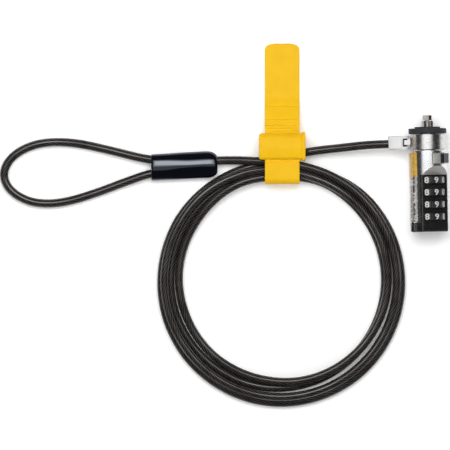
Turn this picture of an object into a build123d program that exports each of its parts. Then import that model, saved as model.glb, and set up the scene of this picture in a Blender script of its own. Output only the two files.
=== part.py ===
"""Combination cable lock for a computer's security slot, with its coiled cable and rubber strap.

Millimetres. The origin is where the lock's axis meets the rubber pad's face. +Y runs along the
axis out through the T-bar, +Z is up, and the whole object lies on a table at TABLE_Z.
"""
import math
import os

from build123d import *

os.makedirs("parts", exist_ok=True)

# ---- driving dimensions -------------------------------------------------------------------
BARREL_R = 11.35
TABLE_Z = -BARREL_R
WALL = 1.2
BORE_R = BARREL_R - WALL
RUN_FIT = 0.05          # radial clearance of a shaft in its hole
GAP = 0.35              # clearance between other moving faces
FRONT = 30.0            # the lock's front, in degrees from +Z towards +X

PAD_R = 11.35
PAD_DISC_R = 7.7
PAD_DISC = 0.9
PAD_BOTTOM = 4.1        # depths are measured down the axis from the pad's face
PLATE_R = 9.6
PLATE = 1.2
COLLAR_R = 10.75
COLLAR_TOP = PAD_BOTTOM + GAP
COLLAR_BOTTOM = 13.75
NECK_R = 6.5
BARREL_TOP = COLLAR_BOTTOM + GAP
TOP_WALL = 1.0
SHELL_BOTTOM = 57.3
LOCK_BOTTOM = 63.0

SLOT_TOP = 15.5
SLOT_BOTTOM = 22.5
LEVER_ANGLE = 55.0
LEVER_TRAVEL = 90.0
LEVER_R = 13.2
LEVER_W = 5.0
LEVER_H = 5.8
DRUM_R = BORE_R - GAP
DRUM_TOP = BARREL_TOP + TOP_WALL + GAP
DRUM_BOTTOM = 22.6
DRUM_MIDDLE = (DRUM_TOP + DRUM_BOTTOM) / 2
CROSS_PIN_ANGLE = LEVER_ANGLE + 90.0
CROSS_PIN_R = 0.75
CROSS_PIN_END = 6.5     # half the cross pin's length
SHOULDER_TOP = 22.95
SHOULDER_BOTTOM = 28.8
FACET_TOP = 23.2

FACE_D = 7.2            # distance of the dial face from the axis
FACE_T = 1.2
FACE_EDGE = 1.1        # the dial face's rounded long edges
WHEEL_PITCH = 7.3
WHEEL_TOP = 31.9        # depth of the first wheel's middle
WHEEL_COUNT = 4
WHEEL_R = 9.8
WHEEL_RIM = 4.0
WINDOW = 4.7
RING_R = 5.6
RING_H = 5.6
CORE_R = 4.0
CORE_BORE = 2.3
CORE_SEAT_TOP = 2.0     # how far the core tube goes into the shell's shoulder
CORE_SEAT_END = 1.0     # and into the housing's end
DIGITS = 10
FIRST_DIGIT = -8.0

SLOT_LONG = 6.7         # the nub fits the standard 3 x 7 mm security slot
SLOT_SHORT = 2.7
BAR_BOTTOM = 4.0        # heights above the pad's face
BAR_TOP = 7.0
NOSE_SHAFT_R = 1.2
SPINDLE_R = 2.0
SPINDLE_END = 45.0

HINGE_X = -13.4
HINGE_Y = -9.15
TONGUE_R = 1.6
TONGUE_HALF = 1.5
BOSS_R = 1.3
CHEEK_GAP = 0.9
ROOT_GAP = 0.25
CHEEK_R = 2.3
FITTING_H = 8.1
FITTING_T = 6.8
FITTING_END = -23.5
PIN_R = 0.8
CABLE_SOCKET = 5.0      # how far the cable goes into the fitting

CABLE_D = 5.0
CABLE_R = CABLE_D / 2
CABLE_Y = -9.8
COIL_X = -88.7
COIL_Y = -91.0
COIL_OUTER = 74.6
COIL_INNER = 60.0
COIL_SHIFT = 2.4        # the inner edge is this much nearer the strap
COIL_H = 10.4

SLEEVE_LEFT = -166.0
SLEEVE_RIGHT = -126.1
SLEEVE_Y = -20.2
SLEEVE_W = 15.2
SLEEVE_H = 8.6
SLEEVE_Z = TABLE_Z + SLEEVE_H / 2
FERRULE_LEFT = -152.0
FERRULE_L = 18.0
FERRULE_W = 12.4
FERRULE_H = 7.0
STRAND_Y = 2.7          # each strand's offset from the sleeve's middle
LOW_Z = TABLE_Z + CABLE_R

STRAP_X = -86.9
STRAP_TURN = -1.2
STRAP_W = 20.8
STRAP_T = 1.6
BUCKLE_W = 27.7


# ---- planes and small helpers -------------------------------------------------------------
def across(depth=0.0, turn=0.0):
    """A plane square to the lock's axis: local x to the side, local y towards the angle turn."""
    a = math.radians(turn)
    return Plane(origin=(0, -depth, 0), x_dir=(math.cos(a), 0, -math.sin(a)), z_dir=(0, -1, 0))


def along(turn=0.0):
    """A plane through the lock's axis: local x towards the angle turn, local y along +Y."""
    a = math.radians(turn)
    return Plane(origin=(0, 0, 0), x_dir=(math.sin(a), 0, math.cos(a)),
                 z_dir=(-math.cos(a), 0, math.sin(a)))


def outward(turn, depth):
    """A plane whose normal points away from the axis at the angle turn."""
    a = math.radians(turn)
    return Plane(origin=(0, -depth, 0), x_dir=(0, 1, 0), z_dir=(math.sin(a), 0, math.cos(a)))


def save(piece, name):
    """Label a finished piece and write its file."""
    piece.part.label = name
    export_step(piece.part, f"parts/{name}.step")


def corner_radii(points):
    """Each corner's largest arc: 0.45 of the shorter run over the tangent of half the turn."""
    spots = [Vector(*p) for p in points]
    radii = []
    for before, here, after in zip(spots, spots[1:], spots[2:]):
        run_in = here - before
        run_out = after - here
        half_turn = math.radians(run_in.get_angle(run_out)) / 2
        radii.append(0.45 * min(run_in.length, run_out.length) / math.tan(half_turn))
    return radii


def cable_tube(points, radius=CABLE_R):
    """The cable's round section swept along straight runs joined by tangent arcs."""
    with BuildPart() as tube:
        with BuildLine() as route:
            FilletPolyline(*points, radius=corner_radii(points))
        path = route.wire()
        with BuildSketch(Plane(origin=path @ 0, z_dir=path % 0)):
            Circle(radius)
        sweep()
    return tube, path.length


# ---- the cable's route --------------------------------------------------------------------
LEAD_ROUTE = [
    (FITTING_END + CABLE_SOCKET, CABLE_Y, 0),
    (-34.0, CABLE_Y, 0),
    (-51.0, -11.3, -3.4),
    (-68.0, -13.7, -6.4),
    (-81.0, -16.7, -7.2),
    (-92.0, -19.8, -7.25),
]
TAIL_ROUTE = [
    (SLEEVE_RIGHT, SLEEVE_Y + STRAND_Y, SLEEVE_Z),
    (-117.0, SLEEVE_Y + STRAND_Y, SLEEVE_Z),
    (-108.0, -17.9, SLEEVE_Z + 1.2),
    (-100.0, -18.3, SLEEVE_Z + 2.0),
]
LOOP_ROUTE = [
    (SLEEVE_RIGHT, SLEEVE_Y + STRAND_Y, SLEEVE_Z),
    (-150.0, SLEEVE_Y + STRAND_Y, SLEEVE_Z),
    (-168.0, -16.2, SLEEVE_Z),
    (-190.5, -9.9, LOW_Z + 0.4),
    (-212.5, -4.6, LOW_Z),
    (-230.5, -4.2, LOW_Z),
    (-243.5, -8.3, LOW_Z),
    (-251.8, -14.9, LOW_Z),
    (-255.2, -23.2, LOW_Z),
    (-252.3, -31.4, LOW_Z),
    (-244.7, -37.6, LOW_Z),
    (-234.3, -41.2, LOW_Z),
    (-219.3, -41.0, LOW_Z),
    (-200.0, -35.7, LOW_Z),
    (-182.5, -29.4, LOW_Z + 0.4),
    (-166.0, -24.0, SLEEVE_Z),
    (-150.0, SLEEVE_Y - STRAND_Y, SLEEVE_Z),
    (-134.5, SLEEVE_Y - STRAND_Y, SLEEVE_Z),
]

# ---- the nose: T-bar, pins, pad and plate -------------------------------------------------
with BuildPart() as t_bar_spindle:
    with BuildSketch(across(-BAR_BOTTOM, FRONT)):
        Rectangle(SLOT_SHORT, SLOT_LONG)
    extrude(amount=BAR_BOTTOM - BAR_TOP)
    fillet(t_bar_spindle.edges().filter_by(Axis.Y), radius=0.5)
    chamfer(t_bar_spindle.faces().sort_by(Axis.Y)[-1].edges(), length=0.3)
    with BuildSketch(across(-BAR_BOTTOM)):
        Circle(NOSE_SHAFT_R)
    extrude(amount=BAR_BOTTOM + PAD_BOTTOM + GAP)
    with BuildSketch(across(PAD_BOTTOM + GAP)):
        Circle(SPINDLE_R)
    extrude(amount=SPINDLE_END - PAD_BOTTOM - GAP)
    chamfer(t_bar_spindle.faces().sort_by(Axis.Y)[0].edges(), length=0.4)
    with BuildSketch(outward(CROSS_PIN_ANGLE, DRUM_MIDDLE).offset(-CROSS_PIN_END)):
        Circle(CROSS_PIN_R)
    extrude(amount=2 * CROSS_PIN_END, mode=Mode.SUBTRACT)

PIN_WIDTH = SLOT_LONG / 2 - NOSE_SHAFT_R - 0.3
PIN_MIDDLE = SLOT_LONG / 2 - PIN_WIDTH / 2
with BuildPart() as slot_pins:
    with BuildSketch(across(-BAR_BOTTOM + GAP, FRONT)):
        with Locations((PIN_MIDDLE, 0), (-PIN_MIDDLE, 0)):
            Rectangle(PIN_WIDTH, SLOT_SHORT)
    extrude(amount=BAR_BOTTOM - GAP + PAD_BOTTOM)
    fillet(slot_pins.edges().filter_by(Axis.Y), radius=0.35)

with BuildPart() as nose_plate:
    with BuildSketch(across(PAD_BOTTOM - PLATE)):
        Circle(PLATE_R)
        Circle(NOSE_SHAFT_R + RUN_FIT, mode=Mode.SUBTRACT)
    extrude(amount=PLATE)
    add(slot_pins.part, mode=Mode.SUBTRACT)

with BuildPart() as rubber_pad:
    with BuildSketch(across(0)):
        Circle(PAD_DISC_R)
    extrude(amount=PAD_DISC)
    with BuildSketch(across(PAD_DISC)):
        Circle(PAD_R)
    extrude(amount=PAD_BOTTOM - PAD_DISC)
    fillet(rubber_pad.edges().filter_by(GeomType.CIRCLE).group_by(SortBy.RADIUS)[-1], radius=0.6)
    fillet(rubber_pad.edges().filter_by(GeomType.CIRCLE).sort_by(Axis.Y)[-1], radius=0.3)
    with BuildSketch(across(PAD_BOTTOM - PLATE)):
        Circle(PLATE_R)
    extrude(amount=PLATE, mode=Mode.SUBTRACT)
    with BuildSketch(across(0, FRONT)):
        RectangleRounded(SLOT_LONG + 0.3, SLOT_SHORT + 0.3, 0.4)
    extrude(amount=PAD_BOTTOM, mode=Mode.SUBTRACT)

with BuildPart() as swivel_neck:
    with BuildSketch(across(PAD_BOTTOM)):
        Circle(NECK_R)
        Circle(SPINDLE_R + RUN_FIT, mode=Mode.SUBTRACT)
    extrude(amount=BARREL_TOP + TOP_WALL - PAD_BOTTOM)

# ---- the swivelling collar with its hinge tongue ------------------------------------------
TONGUE_ROOT = -COLLAR_R + 2.0
with BuildPart() as swivel_collar:
    with BuildSketch(across(COLLAR_TOP)):
        Circle(COLLAR_R)
    extrude(amount=COLLAR_BOTTOM - COLLAR_TOP)
    fillet(swivel_collar.edges().filter_by(GeomType.CIRCLE), radius=0.3)
    with BuildSketch(across(-HINGE_Y - TONGUE_HALF)):
        with Locations((HINGE_X, 0)):
            Circle(TONGUE_R)
        with Locations(((HINGE_X + TONGUE_ROOT) / 2, 0)):
            Rectangle(TONGUE_ROOT - HINGE_X, 2 * TONGUE_R)
    extrude(amount=2 * TONGUE_HALF)
    with BuildSketch(across(-HINGE_Y - TONGUE_HALF - CHEEK_GAP + RUN_FIT)):
        with Locations((HINGE_X, 0)):
            Circle(BOSS_R)
    extrude(amount=2 * (TONGUE_HALF + CHEEK_GAP - RUN_FIT))
    with BuildSketch(across(COLLAR_TOP)):
        Circle(NECK_R + RUN_FIT)
        with Locations((HINGE_X, 0)):
            Circle(PIN_R + RUN_FIT)
    extrude(amount=COLLAR_BOTTOM - COLLAR_TOP, mode=Mode.SUBTRACT)

# ---- the forked cable fitting and its pin -------------------------------------------------
FORK_ROOT = HINGE_X - TONGUE_R - ROOT_GAP
NARROW_END = FORK_ROOT - 0.8
CHEEK_IN = TONGUE_HALF + CHEEK_GAP
with BuildPart() as cable_fitting:
    with Locations(((FITTING_END + NARROW_END) / 2, HINGE_Y, 0)):
        Box(NARROW_END - FITTING_END, FITTING_H, FITTING_T)
    fillet(cable_fitting.edges().filter_by(Axis.X), radius=0.7)
    fillet(cable_fitting.faces().sort_by(Axis.X)[0].edges(), radius=0.5)
    with BuildSketch(across(-HINGE_Y - FITTING_H / 2)):
        with Locations((HINGE_X, 0)):
            Circle(CHEEK_R)
        with Locations(((HINGE_X + NARROW_END - 1) / 2, 0)):
            Rectangle(HINGE_X - NARROW_END + 1, 2 * CHEEK_R)
    extrude(amount=FITTING_H)
    with Locations(((FORK_ROOT + HINGE_X + CHEEK_R + 1) / 2, HINGE_Y, 0)):
        Box(HINGE_X + CHEEK_R + 1 - FORK_ROOT, 2 * CHEEK_IN, FITTING_T, mode=Mode.SUBTRACT)
    with BuildSketch(across(-HINGE_Y - FITTING_H / 2)):
        with Locations((HINGE_X, 0)):
            Circle(PIN_R)
    extrude(amount=FITTING_H, mode=Mode.SUBTRACT)
    with BuildSketch(Plane(origin=(FITTING_END, CABLE_Y, 0), z_dir=(1, 0, 0))):
        Circle(CABLE_R)
    extrude(amount=CABLE_SOCKET, mode=Mode.SUBTRACT)

with BuildPart() as fitting_pin:
    with BuildSketch(across(-HINGE_Y - FITTING_H / 2)):
        with Locations((HINGE_X, 0)):
            Circle(PIN_R)
    extrude(amount=FITTING_H)

# ---- the barrel: chrome shell, dial housing, core and trim --------------------------------
SLOPE = (BARREL_R - FACE_D) / (SHOULDER_BOTTOM - FACET_TOP)
FAR_D = BARREL_R + 3
FACET_FAR = FACET_TOP - (FAR_D - BARREL_R) / SLOPE
SEAT_D = FACE_D - FACE_T
SLOT_FROM = 11.0
SLOT_TO = LEVER_ANGLE + LEVER_TRAVEL + 16.0
LABEL_FROM = -116.0
LABEL_TO = -37.0
LABEL_R = BARREL_R - 0.15
LABEL_TOP = 15.3
LABEL_SPLIT = 30.6
LABEL_BOTTOM = 56.6
LABEL_POINT = 2.2
SPRING_FROM = 195.0
SPRING_TO = SPRING_FROM + 24.0
SPRING_T = 0.3


def ring_sector(inner, outer, start, end, top, bottom):
    """A curved block between two radii, two angles from +Z towards +X, and two depths."""
    steps = 8
    spokes = [math.radians(start + (end - start) * i / steps) for i in range(steps + 1)]
    rim = [(3 * outer * math.sin(a), 3 * outer * math.cos(a)) for a in spokes]
    with BuildPart() as block:
        with BuildSketch(across(top)):
            with BuildLine():
                Polyline((0, 0), *rim, close=True)
            make_face()
            Circle(outer, mode=Mode.INTERSECT)
            Circle(inner, mode=Mode.SUBTRACT)
        extrude(amount=bottom - top)
    return block.part


with BuildPart() as barrel_shell:
    with BuildSketch(across(BARREL_TOP)):
        Circle(BARREL_R)
    extrude(amount=SHELL_BOTTOM - BARREL_TOP)
    fillet(barrel_shell.faces().sort_by(Axis.Y)[-1].edges(), radius=0.4)
    with BuildSketch(across(BARREL_TOP + TOP_WALL)):
        Circle(BORE_R)
    extrude(amount=SHOULDER_TOP - BARREL_TOP - TOP_WALL, mode=Mode.SUBTRACT)
    with BuildSketch(across(SHOULDER_BOTTOM)):
        Circle(BORE_R)
    extrude(amount=SHELL_BOTTOM - SHOULDER_BOTTOM, mode=Mode.SUBTRACT)
    with BuildSketch(across(BARREL_TOP)):
        Circle(NECK_R)
    extrude(amount=TOP_WALL, mode=Mode.SUBTRACT)
    with BuildSketch(across(SHOULDER_TOP)):
        Circle(SPINDLE_R + RUN_FIT)
    extrude(amount=SHOULDER_BOTTOM - SHOULDER_TOP, mode=Mode.SUBTRACT)
    with BuildSketch(across(SHOULDER_BOTTOM - CORE_SEAT_TOP)):
        Circle(CORE_R)
    extrude(amount=CORE_SEAT_TOP, mode=Mode.SUBTRACT)
    add(ring_sector(BORE_R - 1, BARREL_R + 1, SLOT_FROM, SLOT_TO, SLOT_TOP, SLOT_BOTTOM),
        mode=Mode.SUBTRACT)
    with BuildSketch(along(FRONT)):
        with BuildLine():
            Polyline((FAR_D, -FACET_FAR), (FACE_D, -SHOULDER_BOTTOM), (SEAT_D, -SHOULDER_BOTTOM),
                     (SEAT_D, -LOCK_BOTTOM), (FAR_D, -LOCK_BOTTOM), close=True)
        make_face()
    extrude(amount=BARREL_R + 1, both=True, mode=Mode.SUBTRACT)
    add(ring_sector(LABEL_R, BARREL_R + 1, LABEL_FROM, LABEL_TO, LABEL_TOP, LABEL_BOTTOM),
        mode=Mode.SUBTRACT)
    add(ring_sector(BORE_R - 1, BORE_R + SPRING_T, SPRING_FROM, SPRING_TO,
                    SHOULDER_BOTTOM, SHELL_BOTTOM), mode=Mode.SUBTRACT)

with BuildPart() as dial_housing:
    with BuildSketch(across(SHOULDER_BOTTOM)):
        Circle(BARREL_R)
    extrude(amount=LOCK_BOTTOM - SHOULDER_BOTTOM)
    fillet(dial_housing.faces().sort_by(Axis.Y)[0].edges(), radius=1.0)
    with BuildSketch(across(SHOULDER_BOTTOM, FRONT)):
        with Locations((0, SEAT_D - BARREL_R - 1)):
            Rectangle(2 * BARREL_R + 2, 2 * BARREL_R + 2)
    extrude(amount=SHELL_BOTTOM - SHOULDER_BOTTOM, mode=Mode.SUBTRACT)
    with BuildSketch(across(SHOULDER_BOTTOM, FRONT)):
        with Locations((0, FACE_D + BARREL_R)):
            Rectangle(2 * BARREL_R + 2, 2 * BARREL_R)
    extrude(amount=LOCK_BOTTOM - SHOULDER_BOTTOM, mode=Mode.SUBTRACT)
    face = dial_housing.faces().sort_by(Axis((0, 0, 0), along(FRONT).x_dir))[-1]
    fillet(face.edges().filter_by(Axis.Y), radius=FACE_EDGE)
    for i in range(WHEEL_COUNT):
        with BuildSketch(across(WHEEL_TOP + i * WHEEL_PITCH - WINDOW / 2)):
            Circle(WHEEL_R + GAP)
        extrude(amount=WINDOW, mode=Mode.SUBTRACT)
    with BuildSketch(across(SHELL_BOTTOM)):
        Circle(CORE_R)
    extrude(amount=CORE_SEAT_END, mode=Mode.SUBTRACT)
    with BuildSketch(across(SHELL_BOTTOM)):
        Circle(SPINDLE_R + RUN_FIT)
    extrude(amount=LOCK_BOTTOM - SHELL_BOTTOM, mode=Mode.SUBTRACT)

with BuildPart() as core_tube:
    with BuildSketch(across(SHOULDER_BOTTOM - CORE_SEAT_TOP)):
        Circle(CORE_R)
        Circle(CORE_BORE, mode=Mode.SUBTRACT)
    extrude(amount=SHELL_BOTTOM + CORE_SEAT_END - SHOULDER_BOTTOM + CORE_SEAT_TOP)

SPACER_R = 5.4
SPACER_T = 0.8
SCREW_TOP = SPINDLE_END + 4.0
SCREW_BOTTOM = LOCK_BOTTOM - 0.2
DRIVE_W = 0.8           # the screwdriver slot's width
DRIVE_DEPTH = 0.8
with BuildPart() as wheel_spacers:
    for i in range(WHEEL_COUNT - 1):
        with BuildSketch(across(WHEEL_TOP + (i + 0.5) * WHEEL_PITCH - SPACER_T / 2)):
            Circle(SPACER_R)
            Circle(CORE_R, mode=Mode.SUBTRACT)
        extrude(amount=SPACER_T)

with BuildPart() as code_set_screw:
    with BuildSketch(across(SCREW_TOP)):
        Circle(SPINDLE_R)
    extrude(amount=SCREW_BOTTOM - SCREW_TOP)
    with BuildSketch(across(SCREW_BOTTOM - DRIVE_DEPTH, FRONT)):
        Rectangle(2 * SPINDLE_R, DRIVE_W)
    extrude(amount=DRIVE_DEPTH, mode=Mode.SUBTRACT)

LABEL_MIDDLE = (LABEL_FROM + LABEL_TO) / 2
with BuildPart() as label_point:
    with BuildSketch(outward(LABEL_MIDDLE, 0)):
        with BuildLine():
            Polyline((-LABEL_SPLIT + LABEL_POINT, -BARREL_R), (-LABEL_SPLIT, 0),
                     (-LABEL_SPLIT + LABEL_POINT, BARREL_R), (-LABEL_TOP + 1, BARREL_R),
                     (-LABEL_TOP + 1, -BARREL_R), close=True)
        make_face()
    extrude(amount=BARREL_R + 1)

with BuildPart() as label_upper:
    add(ring_sector(LABEL_R, BARREL_R, LABEL_FROM, LABEL_TO, LABEL_TOP, LABEL_BOTTOM))
    add(label_point.part, mode=Mode.INTERSECT)

with BuildPart() as label_lower:
    add(ring_sector(LABEL_R, BARREL_R, LABEL_FROM, LABEL_TO, LABEL_TOP, LABEL_BOTTOM))
    add(label_point.part, mode=Mode.SUBTRACT)

with BuildPart() as click_spring:
    add(ring_sector(BORE_R, BORE_R + SPRING_T, SPRING_FROM, SPRING_TO,
                    SHOULDER_BOTTOM, SHELL_BOTTOM))
    for i in range(WHEEL_COUNT - 1):
        depth = WHEEL_TOP + (i + 0.5) * WHEEL_PITCH
        add(ring_sector(BORE_R - 1, BARREL_R, SPRING_FROM + 4, SPRING_FROM + 20,
                        depth - 0.5, depth + 0.5), mode=Mode.SUBTRACT)

# ---- the number wheels and their code rings -----------------------------------------------
GROOVE_R = 0.75
NOTCH = 1.2


def number_wheel(middle):
    """A rim with a thumb groove between its digits, and the bore that grips its code ring."""
    step = 360 / DIGITS
    with BuildPart() as wheel:
        with BuildSketch(across(middle - WHEEL_RIM / 2, FIRST_DIGIT + step / 2)):
            Circle(WHEEL_R)
            with PolarLocations(WHEEL_R + 0.25, DIGITS, start_angle=90):
                Circle(GROOVE_R, mode=Mode.SUBTRACT)
            Circle(RING_R, mode=Mode.SUBTRACT)
        extrude(amount=WHEEL_RIM)
    return wheel


def code_ring(middle):
    """The inner ring that turns with a wheel and carries its notch."""
    with BuildPart() as ring:
        with BuildSketch(across(middle - RING_H / 2, FIRST_DIGIT)):
            Circle(RING_R)
            Circle(CORE_R + RUN_FIT, mode=Mode.SUBTRACT)
            with Locations((0, -CORE_R)):
                Rectangle(NOTCH, NOTCH, mode=Mode.SUBTRACT)
        extrude(amount=RING_H)
    return ring


# ---- the lever: drum, grip, cross pin and detent ------------------------------------------
LEVER_MIDDLE = (SLOT_TOP + SLOT_BOTTOM) / 2
TENON_R = 7.0
DETENT_ANGLE = LEVER_ANGLE + 180.0
BALL_R = 1.0
SPRING_R = 0.75
SPRING_WIRE = 0.35
SPRING_SEAT = 4.4
SADDLE_R = 10.95        # the saddle fills the slot beside the grip
SADDLE_FROM = SLOT_FROM + 2.5
SADDLE_TO = LEVER_ANGLE - 10.0
with BuildPart() as lever_grip:
    with BuildSketch(outward(LEVER_ANGLE, LEVER_MIDDLE).offset(TENON_R)):
        Rectangle(LEVER_H, LEVER_W)
    extrude(amount=LEVER_R - TENON_R)
    tip = lever_grip.faces().sort_by(SortBy.DISTANCE)[-1]
    fillet(tip.edges(), radius=0.7)

with BuildPart() as lever_drum:
    with BuildSketch(across(DRUM_TOP)):
        Circle(DRUM_R)
        Circle(SPINDLE_R, mode=Mode.SUBTRACT)
    extrude(amount=DRUM_BOTTOM - DRUM_TOP)
    add(ring_sector(DRUM_R - 1, SADDLE_R, SADDLE_FROM, SADDLE_TO,
                    LEVER_MIDDLE - LEVER_H / 2, LEVER_MIDDLE + LEVER_H / 2))
    add(lever_grip.part, mode=Mode.SUBTRACT)
    with BuildSketch(outward(DETENT_ANGLE, DRUM_MIDDLE).offset(SPRING_SEAT)):
        Circle(BALL_R + RUN_FIT)
    extrude(amount=DRUM_R, mode=Mode.SUBTRACT)
    with BuildSketch(outward(CROSS_PIN_ANGLE, DRUM_MIDDLE).offset(-CROSS_PIN_END)):
        Circle(CROSS_PIN_R)
    extrude(amount=2 * CROSS_PIN_END, mode=Mode.SUBTRACT)

with BuildPart() as drum_pin:
    with BuildSketch(outward(CROSS_PIN_ANGLE, DRUM_MIDDLE).offset(-CROSS_PIN_END)):
        Circle(CROSS_PIN_R)
    extrude(amount=2 * CROSS_PIN_END)

with BuildPart() as detent_ball:
    with Locations(outward(DETENT_ANGLE, DRUM_MIDDLE).offset(DRUM_R - BALL_R)):
        Sphere(BALL_R)

SPRING_L = DRUM_R - 2 * BALL_R - SPRING_SEAT - SPRING_WIRE
with BuildPart() as detent_spring:
    seat = outward(DETENT_ANGLE, DRUM_MIDDLE).offset(SPRING_SEAT + SPRING_WIRE / 2)
    with BuildLine() as coil:
        Helix(pitch=SPRING_L / 4, height=SPRING_L, radius=SPRING_R, center=seat.origin,
              direction=seat.z_dir)
    helix = coil.wire()
    with BuildSketch(Plane(origin=helix @ 0, z_dir=helix % 0)):
        Circle(SPRING_WIRE / 2)
    sweep(is_frenet=True)

# ---- the cable, its sleeve and ferrule ----------------------------------------------------
cable_lead, lead_length = cable_tube(LEAD_ROUTE)
cable_tail, tail_length = cable_tube(TAIL_ROUTE)
cable_loop, loop_length = cable_tube(LOOP_ROUTE)

with BuildPart() as crimp_ferrule:
    with BuildSketch(Plane(origin=(FERRULE_LEFT, SLEEVE_Y, SLEEVE_Z), x_dir=(0, 1, 0),
                           z_dir=(1, 0, 0))):
        SlotOverall(FERRULE_W, FERRULE_H)
    extrude(amount=FERRULE_L)
    add(cable_loop.part, mode=Mode.SUBTRACT)

with BuildPart() as loop_sleeve:
    with BuildSketch(Plane(origin=(SLEEVE_LEFT, SLEEVE_Y, SLEEVE_Z), x_dir=(0, 1, 0),
                           z_dir=(1, 0, 0))):
        SlotOverall(SLEEVE_W, SLEEVE_H)
    extrude(amount=SLEEVE_RIGHT - SLEEVE_LEFT)
    fillet(loop_sleeve.faces().sort_by(Axis.X)[-1].edges(), radius=1.6)
    fillet(loop_sleeve.faces().sort_by(Axis.X)[0].edges(), radius=0.4)
    with BuildSketch(Plane(origin=(FERRULE_LEFT, SLEEVE_Y, SLEEVE_Z), x_dir=(0, 1, 0),
                           z_dir=(1, 0, 0))):
        SlotOverall(FERRULE_W, FERRULE_H)
    extrude(amount=FERRULE_L, mode=Mode.SUBTRACT)
    add(cable_loop.part, mode=Mode.SUBTRACT)

CHANNEL = STRAP_T + 0.3
with BuildPart() as cable_coil:
    with BuildSketch(Plane.XY.offset(TABLE_Z)):
        with Locations((COIL_X, COIL_Y)):
            Circle(COIL_OUTER)
        with Locations((COIL_X, COIL_Y + COIL_SHIFT)):
            Circle(COIL_INNER, mode=Mode.SUBTRACT)
    extrude(amount=COIL_H)
    fillet(cable_coil.edges().filter_by(GeomType.CIRCLE), radius=CABLE_R)
    with Locations((STRAP_X, COIL_Y + COIL_OUTER, TABLE_Z + CHANNEL / 2)):
        Box(STRAP_W + 2, 40, CHANNEL, mode=Mode.SUBTRACT)
    add(loop_sleeve.part, mode=Mode.SUBTRACT)

# ---- the rubber strap: one long band, and the buckle that it passes through ---------------
STRAP = Plane(origin=(STRAP_X, 0, TABLE_Z),
              x_dir=(-math.sin(math.radians(STRAP_TURN)), math.cos(math.radians(STRAP_TURN)), 0),
              z_dir=(math.cos(math.radians(STRAP_TURN)), math.sin(math.radians(STRAP_TURN)), 0))
BAND_LINE = [
    (52.0, STRAP_T / 2),
    (20.0, STRAP_T / 2 + 0.3),
    (-1.0, 9.0),
    (-19.5, 12.3),
    (-31.6, 12.3),
    (-31.6, STRAP_T / 2),
    (-10.0, STRAP_T / 2),
    (-8.5, 8.5),
]
BAND_RADII = [8, 8, 4, 2, 1.6, 0.8]
BUCKLE_SLOT = STRAP_T + 0.6
BUCKLE_OUTLINE = [(-18.2, 15.0), (-2.2, 12.1), (-2.2, 6.3), (-15.2, 8.6), (-18.2, 11.6)]
with BuildPart() as strap_buckle:
    with BuildSketch(STRAP):
        with BuildLine():
            Polyline(*BUCKLE_OUTLINE, close=True)
        make_face()
    extrude(amount=BUCKLE_W / 2, both=True)
    fillet(strap_buckle.edges(), radius=0.5)
    with BuildSketch(STRAP):
        with BuildLine():
            FilletPolyline(*BAND_LINE[:5], radius=BAND_RADII[:3])
        trace(line_width=BUCKLE_SLOT)
    extrude(amount=STRAP_W / 2 + 0.3, both=True, mode=Mode.SUBTRACT)

with BuildPart() as strap_band:
    with BuildSketch(STRAP):
        with BuildLine():
            FilletPolyline(*BAND_LINE, radius=BAND_RADII)
        trace(line_width=STRAP_T)
    extrude(amount=STRAP_W / 2, both=True)
    add(strap_buckle.part, mode=Mode.SUBTRACT)

for name, piece in {
    "t_bar_spindle": t_bar_spindle, "slot_pins": slot_pins, "nose_plate": nose_plate,
    "rubber_pad": rubber_pad, "swivel_neck": swivel_neck, "swivel_collar": swivel_collar,
    "cable_fitting": cable_fitting, "fitting_pin": fitting_pin, "barrel_shell": barrel_shell,
    "dial_housing": dial_housing, "core_tube": core_tube, "wheel_spacers": wheel_spacers,
    "code_set_screw": code_set_screw, "label_upper": label_upper, "label_lower": label_lower,
    "click_spring": click_spring, "lever_grip": lever_grip, "lever_drum": lever_drum,
    "drum_pin": drum_pin, "detent_ball": detent_ball, "detent_spring": detent_spring,
    "cable_lead": cable_lead, "cable_tail": cable_tail, "cable_loop": cable_loop,
    "crimp_ferrule": crimp_ferrule, "loop_sleeve": loop_sleeve, "cable_coil": cable_coil,
    "strap_band": strap_band, "strap_buckle": strap_buckle,
}.items():
    save(piece, name)
for i in range(WHEEL_COUNT):
    save(number_wheel(WHEEL_TOP + i * WHEEL_PITCH), f"number_wheel_{i + 1}")
    save(code_ring(WHEEL_TOP + i * WHEEL_PITCH), f"code_ring_{i + 1}")

for name, route in {"lead": LEAD_ROUTE, "tail": TAIL_ROUTE, "loop": LOOP_ROUTE}.items():
    print(name, "corner radii, mm:", [round(r, 1) for r in corner_radii(route)])
print("tube lengths, mm:", round(lead_length, 1), round(tail_length, 1), round(loop_length, 1))
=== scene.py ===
"""The looks of a laptop cable lock: a combination lock on a coiled steel cable with a rubber strap.

Metres, in the frame of the CAD model: the lock's axis is +Y and the table is under everything.
"""
import math

import bmesh
import bpy
import numpy as np
from mathutils import Matrix, Vector


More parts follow.
